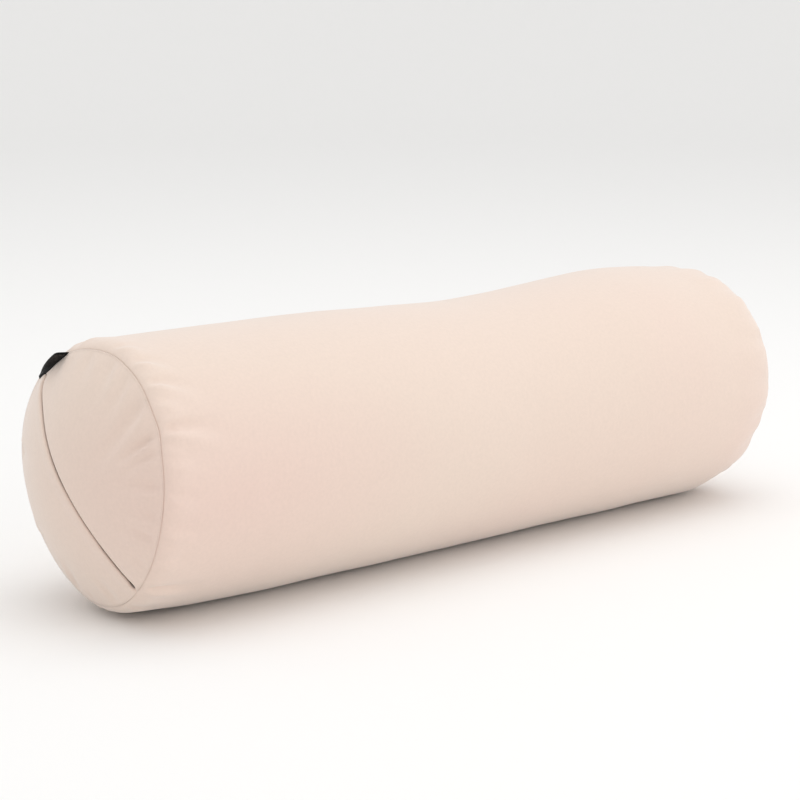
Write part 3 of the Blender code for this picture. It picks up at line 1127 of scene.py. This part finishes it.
@dataclass(frozen=True)
class WovenFinish:
    """A cloth finish. Lengths are in metres and colours are linear."""

    name: str
    colour: tuple[float, float, float]
    warm: tuple[float, float, float]
    pitch: float
    weave_height: float
    nap_height: float
    rough: tuple[float, float]
    sheen: float
    laid_on: Coordinates = Coordinates.CLOTH
    patch_size: float = 0.24
    blush_middle: tuple[float, float, float] = (0.0, 0.0, -9.0)
    blush_reach: tuple[float, float, float] = (1.0, 1.0, 1.0)
    sheen_rough: float = 0.5
    specular: float = 0.25


@dataclass(frozen=True)
class HardFinish:
    """A moulded or die-cast finish."""

    name: str
    colour: tuple[float, float, float]
    metallic: float
    rough: tuple[float, float]
    grain: float
    grain_height: float


def blank_material(name: str) -> bpy.types.Material:
    """Make a material whose node tree is empty.

    Args:
        name: Name of the material.

    Returns:
        The material.
    """
    material = bpy.data.materials.new(name)
    material.use_nodes = True
    material.node_tree.nodes.clear()
    return material


def place_nodes(layout: Sequence[tuple[bpy.types.Node, int, int]]) -> None:
    """Set out nodes on a grid.

    Args:
        layout: Each node with its column and row.
    """
    for node, column, row in layout:
        node.location = (column * 220, -row * 190)


def woven_material(finish: WovenFinish) -> bpy.types.Material:
    """Cloth with patchy colour, a plain weave, a soft nap and sheen.

    Args:
        finish: The cloth's values.

    Returns:
        The material.
    """
    material = blank_material(finish.name)
    nodes = material.node_tree.nodes
    links = material.node_tree.links

    colour_frame = nodes.new("NodeFrame")
    colour_frame.label = "Dye"
    weave_frame = nodes.new("NodeFrame")
    weave_frame.label = "Weave"
    surface_frame = nodes.new("NodeFrame")
    surface_frame.label = "Nap and surface"

    coordinates = nodes.new("ShaderNodeTexCoord")
    coordinates.label = "Cloth and space"

    patches = nodes.new("ShaderNodeTexNoise")
    patches.label = "Broad dye patches"
    patches.inputs["Scale"].default_value = 1 / finish.patch_size
    patches.inputs["Detail"].default_value = 1.5
    patches.inputs["Roughness"].default_value = 0.45

    patch_range = nodes.new("ShaderNodeMapRange")
    patch_range.label = "Patch strength"
    patch_range.interpolation_type = "SMOOTHSTEP"
    patch_range.inputs["From Min"].default_value = 0.48
    patch_range.inputs["From Max"].default_value = 1.0

    blush_place = nodes.new("ShaderNodeMapping")
    blush_place.label = "Where the blush lies"
    blush_place.vector_type = "TEXTURE"
    blush_place.inputs["Location"].default_value = finish.blush_middle
    blush_place.inputs["Scale"].default_value = finish.blush_reach

    blush = nodes.new("ShaderNodeTexGradient")
    blush.label = "Blush from storage"
    blush.gradient_type = "SPHERICAL"

    tint = nodes.new("ShaderNodeMath")
    tint.label = "Patches and blush"
    tint.operation = "ADD"
    tint.use_clamp = True

    dye = nodes.new("ShaderNodeMix")
    dye.label = "Cream to blush"
    dye.data_type = "RGBA"
    dye.inputs["A"].default_value = (*finish.colour, 1)
    dye.inputs["B"].default_value = (*finish.warm, 1)

    flecks = nodes.new("ShaderNodeTexNoise")
    flecks.label = "Uneven fibres"
    flecks.inputs["Scale"].default_value = 380
    flecks.inputs["Detail"].default_value = 3

    fleck_range = nodes.new("ShaderNodeMapRange")
    fleck_range.label = "Fibre shade"
    fleck_range.inputs["To Min"].default_value = 0.955
    fleck_range.inputs["To Max"].default_value = 1.045

    shade = nodes.new("ShaderNodeMix")
    shade.label = "Shade the dye"
    shade.data_type = "RGBA"
    shade.blend_type = "MULTIPLY"
    shade.inputs["Factor"].default_value = 1.0

    warp = nodes.new("ShaderNodeTexWave")
    warp.label = "Warp threads"
    weft = nodes.new("ShaderNodeTexWave")
    weft.label = "Weft threads"
    for threads, direction in ((warp, "X"), (weft, "Y")):
        threads.bands_direction = direction
        threads.inputs["Scale"].default_value = math.pi / (10 * finish.pitch)
        threads.inputs["Distortion"].default_value = 0.6
        threads.inputs["Detail"].default_value = 1.0

    crossing = nodes.new("ShaderNodeMath")
    crossing.label = "Over and under"
    crossing.operation = "MULTIPLY"

    weave_bump = nodes.new("ShaderNodeBump")
    weave_bump.label = "Weave relief"
    weave_bump.inputs["Strength"].default_value = 0.5
    weave_bump.inputs["Distance"].default_value = finish.weave_height

    nap = nodes.new("ShaderNodeTexNoise")
    nap.label = "Brushed nap"
    nap.inputs["Scale"].default_value = 900
    nap.inputs["Detail"].default_value = 4
    nap.inputs["Roughness"].default_value = 0.6

    nap_bump = nodes.new("ShaderNodeBump")
    nap_bump.label = "Nap relief"
    nap_bump.inputs["Strength"].default_value = 0.6
    nap_bump.inputs["Distance"].default_value = finish.nap_height

    handling = nodes.new("ShaderNodeTexNoise")
    handling.label = "Brushed and smoothed areas"
    handling.inputs["Scale"].default_value = 22
    handling.inputs["Detail"].default_value = 3

    rough_range = nodes.new("ShaderNodeMapRange")
    rough_range.label = "Roughness"
    rough_range.inputs["To Min"].default_value = finish.rough[0]
    rough_range.inputs["To Max"].default_value = finish.rough[1]

    shader = nodes.new("ShaderNodeBsdfPrincipled")
    shader.label = "Cloth"
    shader.inputs["Sheen Weight"].default_value = finish.sheen
    shader.inputs["Sheen Roughness"].default_value = finish.sheen_rough
    shader.inputs["Specular IOR Level"].default_value = finish.specular

    output = nodes.new("ShaderNodeOutputMaterial")
    output.label = "Surface"

    for node in (
        patches, patch_range, blush_place, blush, tint, dye, flecks, fleck_range, shade,
    ):
        node.parent = colour_frame
    for node in (
        warp, weft, crossing, weave_bump,
    ):
        node.parent = weave_frame
    for node in (
        nap, nap_bump, handling, rough_range,
    ):
        node.parent = surface_frame

    links.new(coordinates.outputs["Object"], patches.inputs["Vector"])
    links.new(coordinates.outputs["Object"], flecks.inputs["Vector"])
    links.new(coordinates.outputs["Object"], nap.inputs["Vector"])
    links.new(coordinates.outputs["Object"], handling.inputs["Vector"])
    links.new(coordinates.outputs[finish.laid_on.value], warp.inputs["Vector"])
    links.new(coordinates.outputs[finish.laid_on.value], weft.inputs["Vector"])
    links.new(patches.outputs["Fac"], patch_range.inputs["Value"])
    links.new(coordinates.outputs["Object"], blush_place.inputs["Vector"])
    links.new(blush_place.outputs["Vector"], blush.inputs["Vector"])
    links.new(patch_range.outputs["Result"], tint.inputs[0])
    links.new(blush.outputs["Fac"], tint.inputs[1])
    links.new(tint.outputs["Value"], dye.inputs["Factor"])
    links.new(flecks.outputs["Fac"], fleck_range.inputs["Value"])
    links.new(dye.outputs["Result"], shade.inputs["A"])
    links.new(fleck_range.outputs["Result"], shade.inputs["B"])
    links.new(shade.outputs["Result"], shader.inputs["Base Color"])
    links.new(warp.outputs["Fac"], crossing.inputs[0])
    links.new(weft.outputs["Fac"], crossing.inputs[1])
    links.new(crossing.outputs["Value"], weave_bump.inputs["Height"])
    links.new(nap.outputs["Fac"], nap_bump.inputs["Height"])
    links.new(weave_bump.outputs["Normal"], nap_bump.inputs["Normal"])
    links.new(nap_bump.outputs["Normal"], shader.inputs["Normal"])
    links.new(handling.outputs["Fac"], rough_range.inputs["Value"])
    links.new(rough_range.outputs["Result"], shader.inputs["Roughness"])
    links.new(shader.outputs["BSDF"], output.inputs["Surface"])

    place_nodes((
        (coordinates, 0, 2), (patches, 1, 0), (patch_range, 2, 0), (dye, 4, 0), (blush_place, 1, -1),
        (blush, 2, -1), (tint, 3, -1), (flecks, 1, 1), (fleck_range, 2, 1), (shade, 5, 0), (warp, 1, 2),
        (weft, 1, 3), (crossing, 2, 2), (weave_bump, 3, 2), (nap, 1, 4), (nap_bump, 4, 3),
        (handling, 1, 5), (rough_range, 2, 5), (shader, 6, 1), (output, 7, 1),
    ))
    return material


def hard_material(finish: HardFinish) -> bpy.types.Material:
    """A smooth hard surface with a faint grain and uneven gloss.

    Args:
        finish: The surface's values.

    Returns:
        The material.
    """
    material = blank_material(finish.name)
    nodes = material.node_tree.nodes
    links = material.node_tree.links

    wear_frame = nodes.new("NodeFrame")
    wear_frame.label = "Handling wear"

    coordinates = nodes.new("ShaderNodeTexCoord")
    coordinates.label = "Space"

    grain = nodes.new("ShaderNodeTexNoise")
    grain.label = "Cast grain"
    grain.parent = wear_frame
    grain.inputs["Scale"].default_value = finish.grain
    grain.inputs["Detail"].default_value = 4

    rough_range = nodes.new("ShaderNodeMapRange")
    rough_range.label = "Rubbed gloss"
    rough_range.parent = wear_frame
    rough_range.inputs["To Min"].default_value = finish.rough[0]
    rough_range.inputs["To Max"].default_value = finish.rough[1]

    bump = nodes.new("ShaderNodeBump")
    bump.label = "Grain relief"
    bump.parent = wear_frame
    bump.inputs["Strength"].default_value = 0.4
    bump.inputs["Distance"].default_value = finish.grain_height

    shader = nodes.new("ShaderNodeBsdfPrincipled")
    shader.label = "Hard surface"
    shader.inputs["Base Color"].default_value = (*finish.colour, 1)
    shader.inputs["Metallic"].default_value = finish.metallic

    output = nodes.new("ShaderNodeOutputMaterial")
    output.label = "Surface"

    links.new(coordinates.outputs["Object"], grain.inputs["Vector"])
    links.new(grain.outputs["Fac"], rough_range.inputs["Value"])
    links.new(grain.outputs["Fac"], bump.inputs["Height"])
    links.new(rough_range.outputs["Result"], shader.inputs["Roughness"])
    links.new(bump.outputs["Normal"], shader.inputs["Normal"])
    links.new(shader.outputs["BSDF"], output.inputs["Surface"])

    place_nodes((
        (coordinates, 0, 0), (grain, 1, 0), (rough_range, 2, 0),
        (bump, 2, 1), (shader, 3, 0), (output, 4, 0),
    ))
    return material


def paper_material(colour: tuple[float, float, float]) -> bpy.types.Material:
    """Matt studio paper.

    Args:
        colour: The paper's linear colour.

    Returns:
        The material.
    """
    material = blank_material("studio_paper")
    nodes = material.node_tree.nodes
    links = material.node_tree.links

    shader = nodes.new("ShaderNodeBsdfPrincipled")
    shader.label = "Matt paper"
    shader.inputs["Base Color"].default_value = (*colour, 1)
    shader.inputs["Roughness"].default_value = 0.95
    shader.inputs["Specular IOR Level"].default_value = 0.1

    output = nodes.new("ShaderNodeOutputMaterial")
    output.label = "Surface"

    links.new(shader.outputs["BSDF"], output.inputs["Surface"])
    place_nodes(((shader, 0, 0), (output, 2, 0)))
    return material


COVER_CLOTH = WovenFinish(
    "cover_cloth", colour=(0.80, 0.657, 0.565), warm=(0.80, 0.61, 0.535), pitch=0.55 * MM,
    weave_height=0.05 * MM, nap_height=0.08 * MM, rough=(0.78, 0.92), sheen=0.5,
    blush_middle=(-0.285, -0.09, 0.10), blush_reach=(0.21, 0.14, 0.09),
)
THREAD = WovenFinish(
    "overlock_thread", colour=(0.78, 0.64, 0.55), warm=(0.80, 0.63, 0.54), pitch=0.8 * MM,
    weave_height=0.3 * MM, nap_height=0.1 * MM, rough=(0.6, 0.8), sheen=0.2, laid_on=Coordinates.SPACE,
)
# Painted shade: the tape's dark taupe stands in for the shadow inside the slit between the rolled edges,
# rather than being the tape's own colour.
TAPE_PAINTED_SHADE = WovenFinish(
    "zip_tape", colour=(0.30, 0.235, 0.195), warm=(0.31, 0.23, 0.19), pitch=0.5 * MM,
    weave_height=0.15 * MM, nap_height=0.05 * MM, rough=(0.65, 0.85), sheen=0.2,
)
RIBBON = WovenFinish(
    "label_ribbon", colour=(0.004, 0.004, 0.0045), warm=(0.007, 0.0065, 0.007), pitch=0.35 * MM,
    weave_height=0.12 * MM, nap_height=0.02 * MM, rough=(0.4, 0.6), sheen=0.02, specular=0.15,
)
LINER = WovenFinish(
    "liner_cloth", colour=(0.86, 0.84, 0.80), warm=(0.84, 0.82, 0.77), pitch=0.6 * MM,
    weave_height=0.1 * MM, nap_height=0.1 * MM, rough=(0.8, 0.95), sheen=0.2, laid_on=Coordinates.SPACE,
)
FIBRE = WovenFinish(
    "fibre_fill", colour=(0.88, 0.88, 0.87), warm=(0.84, 0.84, 0.82), pitch=4 * MM,
    weave_height=0.6 * MM, nap_height=0.8 * MM, rough=(0.85, 1.0), sheen=0.4, laid_on=Coordinates.SPACE,
)
# Painted shade: the teeth's dark taupe is darkened with the tape so that it stands in for the shadow in
# the slit.
NYLON_PAINTED_SHADE = HardFinish(
    "zip_nylon_painted_shade", colour=(0.36, 0.29, 0.24), metallic=0.0, rough=(0.35, 0.5),
    grain=900, grain_height=0.02 * MM,
)
ZIP_METAL = HardFinish(
    "zip_metal", colour=(0.62, 0.58, 0.54), metallic=1.0, rough=(0.25, 0.42),
    grain=1400, grain_height=0.01 * MM,
)


# --------------------------------------------------------------------------- the bolster


@dataclass
class Cover:
    """The removable cover, which stands for the frame's cloth solids."""

    form: BolsterForm

    def build(self) -> None:
        """Model the cover's pieces and fasten them to the frame."""
        cloth = woven_material(COVER_CLOTH)
        upper, lower = ZippedEnd(self.form).build()
        stands_for = {
            "cover_body": CoverSleeve(self.form).build(),
            "near_end_panel_upper": upper,
            "near_end_panel_lower": lower,
            "far_end_panel": PlainEnd(self.form).build(),
        }
        for node, piece in stands_for.items():
            attach(piece, node, "cover_fabric", cloth)
        thread_node = "near_seam_overlock"
        thread = DriftedParts(self.form).build(thread_node, "seam_thread_near", 0.5, 1.2 * MM, True)
        attach(thread, thread_node, "seam_thread", woven_material(THREAD))
        attach(SewnLabel(self.form).build(), "woven_label", "label_black", woven_material(RIBBON))


@dataclass
class Zip:
    """The zip across the round end."""

    form: BolsterForm

    def build(self) -> None:
        """Model the tapes and dress the frame's teeth, stops, slider and pull."""
        # The tape and teeth finishes are darkened as painted shade for the slit between the rolled edges.
        tape_cloth = woven_material(TAPE_PAINTED_SHADE)
        upper, lower = ZipTapes(self.form).build()
        attach(upper, "zip_tape_upper", "zip_tape", tape_cloth)
        attach(lower, "zip_tape_lower", "zip_tape", tape_cloth)
        dress(("zip_teeth_upper", "zip_teeth_lower"), hard_material(NYLON_PAINTED_SHADE))
        metal = hard_material(ZIP_METAL)
        stops = ("zip_top_stop_upper", "zip_top_stop_lower", "zip_bottom_stop")
        dress((*stops, "zip_slider", "zip_pull"), metal)


@dataclass
class InnerPillow:
    """The filled inner pillow and the hidden seam bindings."""

    form: BolsterForm

    def build(self) -> None:
        """Shape the parts beside the zipped seam and dress the rest as the frame has them."""
        liner = woven_material(LINER)
        fibre = woven_material(FIBRE)
        parts = DriftedParts(self.form)
        for node, name, slot, material in (
            ("liner_body", "liner_sleeve", "liner_fabric", liner),
            ("liner_near_end", "liner_round_near", "liner_fabric", liner),
            ("near_fibre_pad", "fibre_pad_near", "fibre_fill", fibre),
            ("fibre_wrap", "fibre_wrap_quilt", "fibre_fill", fibre),
            ("batting_roll", "batting_core", "fibre_fill", fibre),
        ):
            piece = parts.build(node, name)
            attach(piece, node, slot, material)
        dress(("liner_far_end",), liner)
        dress(("far_fibre_pad",), fibre)
        dress(("far_seam_overlock", "body_seam_binding"), bpy.data.materials[THREAD.name])


def attach(piece: bpy.types.Object, node: str, slot: str, material: bpy.types.Material) -> None:
    """Fasten a piece to the root body in place of a frame node.

    Args:
        piece: The finished piece.
        node: The frame node that it stands for.
        slot: The record's material slot, which is not used.
        material: The piece's finish.
    """
    piece.data.materials.append(material)
    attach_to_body(piece, "root")
    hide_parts(node)
    LOG.info("%s stands for %s: %d faces", piece.name, node, len(piece.data.polygons))


def dress(nodes: Sequence[str], material: bpy.types.Material) -> None:
    """Give frame nodes a finish.

    Args:
        nodes: Names of the frame nodes.
        material: The finish.
    """
    for name in nodes:
        frame["nodes"][name].material_slots[0].material = material
        LOG.info("%s keeps its frame shape", name)


# --------------------------------------------------------------------------- studio


@dataclass
class Studio:
    """A plain pale sweep, soft light and the camera."""

    azimuth: float = math.radians(-42.77)
    elevation: float = math.radians(10.54)
    distance: float = 1.795
    lens: float = 98.67
    aim_right: float = -22.6 * MM
    aim_up: float = 16.1 * MM
    aim_height: float = 103 * MM
    paper: tuple[float, float, float] = (0.93, 0.925, 0.915)
    surround: float = 0.86
    sweep_radii: tuple[float, ...] = (0.0, 2.0, 5.0)
    wall_bend: float = 2.4
    wall_steps: int = 12
    sweep_sides: int = 96
    sensor_width: float = 36.0
    lights_aim: tuple[float, float, float] = (0, 0, 0.1)
    softboxes: tuple[tuple[str, tuple[float, float, float], float, float], ...] = (
        ("top_softbox", (0.2, -0.2, 2.6), 2.4, 18.0),
        ("front_softbox", (1.5, -2.8, 0.9), 1.8, 15.0),
    )

    def build(self, middle_x: float) -> None:
        """Set up the sweep, the lights and the camera round the bolster.

        Args:
            middle_x: Middle of the bolster's length.
        """
        self.add_sweep()
        self.add_lights()
        self.add_camera(middle_x)

    def add_sweep(self) -> None:
        """A round floor that curves up into a low wall far behind the bolster on every side."""
        bm = bmesh.new()
        outline = [(radius, 0.0) for radius in self.sweep_radii]
        flat = self.sweep_radii[-1]
        for step in range(1, self.wall_steps + 1):
            turn = math.pi / 2 * step / self.wall_steps
            rise = self.wall_bend * (1 - math.cos(turn))
            outline.append((flat + self.wall_bend * math.sin(turn), rise))
        verts = [bm.verts.new((radius, 0, height)) for radius, height in outline]
        edges = [bm.edges.new(pair) for pair in zip(verts, verts[1:])]
        bmesh.ops.spin(
            bm, geom=verts + edges, cent=(0, 0, 0), axis=(0, 0, 1),
            angle=2 * math.pi, steps=self.sweep_sides, use_merge=True, use_duplicate=False,
        )
        bmesh.ops.remove_doubles(bm, verts=bm.verts[:], dist=MERGE)
        bmesh.ops.recalc_face_normals(bm, faces=bm.faces[:])
        if max(bm.faces, key=lambda face: -face.calc_center_median().length).normal.z < 0:
            bmesh.ops.reverse_faces(bm, faces=bm.faces[:])
        floor = as_piece("floor", bm)
        floor.data.materials.append(paper_material(self.paper))
        floor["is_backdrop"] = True

    def add_lights(self) -> None:
        """A white surround and two large soft lights."""
        world = bpy.data.worlds.new("studio_surround")
        world.use_nodes = True
        background = world.node_tree.nodes["Background"]
        background.label = "White surround"
        background.inputs["Color"].default_value = (1, 1, 1, 1)
        background.inputs["Strength"].default_value = self.surround
        bpy.context.scene.world = world
        for name, place, size, power in self.softboxes:
            light = bpy.data.lights.new(name, "AREA")
            light.size = size
            light.energy = power
            lamp = bpy.data.objects.new(name, light)
            lamp.location = place
            lamp.visible_camera = False
            back = Vector(place) - Vector(self.lights_aim)
            lamp.rotation_euler = back.to_track_quat("Z", "Y").to_euler()
            bpy.context.scene.collection.objects.link(lamp)

    def add_camera(self, middle_x: float) -> None:
        """The camera, which looks from the zipped end and a little above it.

        Args:
            middle_x: Middle of the bolster's length.
        """
        back = Vector((
            math.sin(self.azimuth) * math.cos(self.elevation),
            -math.cos(self.azimuth) * math.cos(self.elevation),
            math.sin(self.elevation),
        ))
        right = Vector((math.cos(self.azimuth), math.sin(self.azimuth), 0))
        up = back.cross(right)
        aim = Vector((middle_x, 0, self.aim_height)) + right * self.aim_right + up * self.aim_up
        data = bpy.data.cameras.new("camera")
        data.lens = self.lens
        data.sensor_width = self.sensor_width
        camera = bpy.data.objects.new("camera", data)
        camera.location = aim + back * self.distance
        camera.rotation_euler = back.to_track_quat("Z", "Y").to_euler()
        bpy.context.scene.collection.objects.link(camera)
        bpy.context.scene.camera = camera


def write_sizes() -> None:
    """Work out the frame's box and the finished bolster's box; nothing is kept or written."""
    boxes = {"cad": CAD_BOX, "visual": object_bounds()}
    {name: [list(corner) for corner in box] for name, box in boxes.items()}


def main() -> None:
    """Build the bolster and its studio."""
    logging.basicConfig(level=logging.INFO, format="%(name)s: %(message)s")
    form = BolsterForm()
    Cover(form).build()
    Zip(form).build()
    InnerPillow(form).build()
    Studio().build(form.middle_x)
    bpy.context.scene.view_settings.view_transform = "Standard"
    bpy.context.view_layer.update()
    write_sizes()


if __name__ == "__main__":
    main()
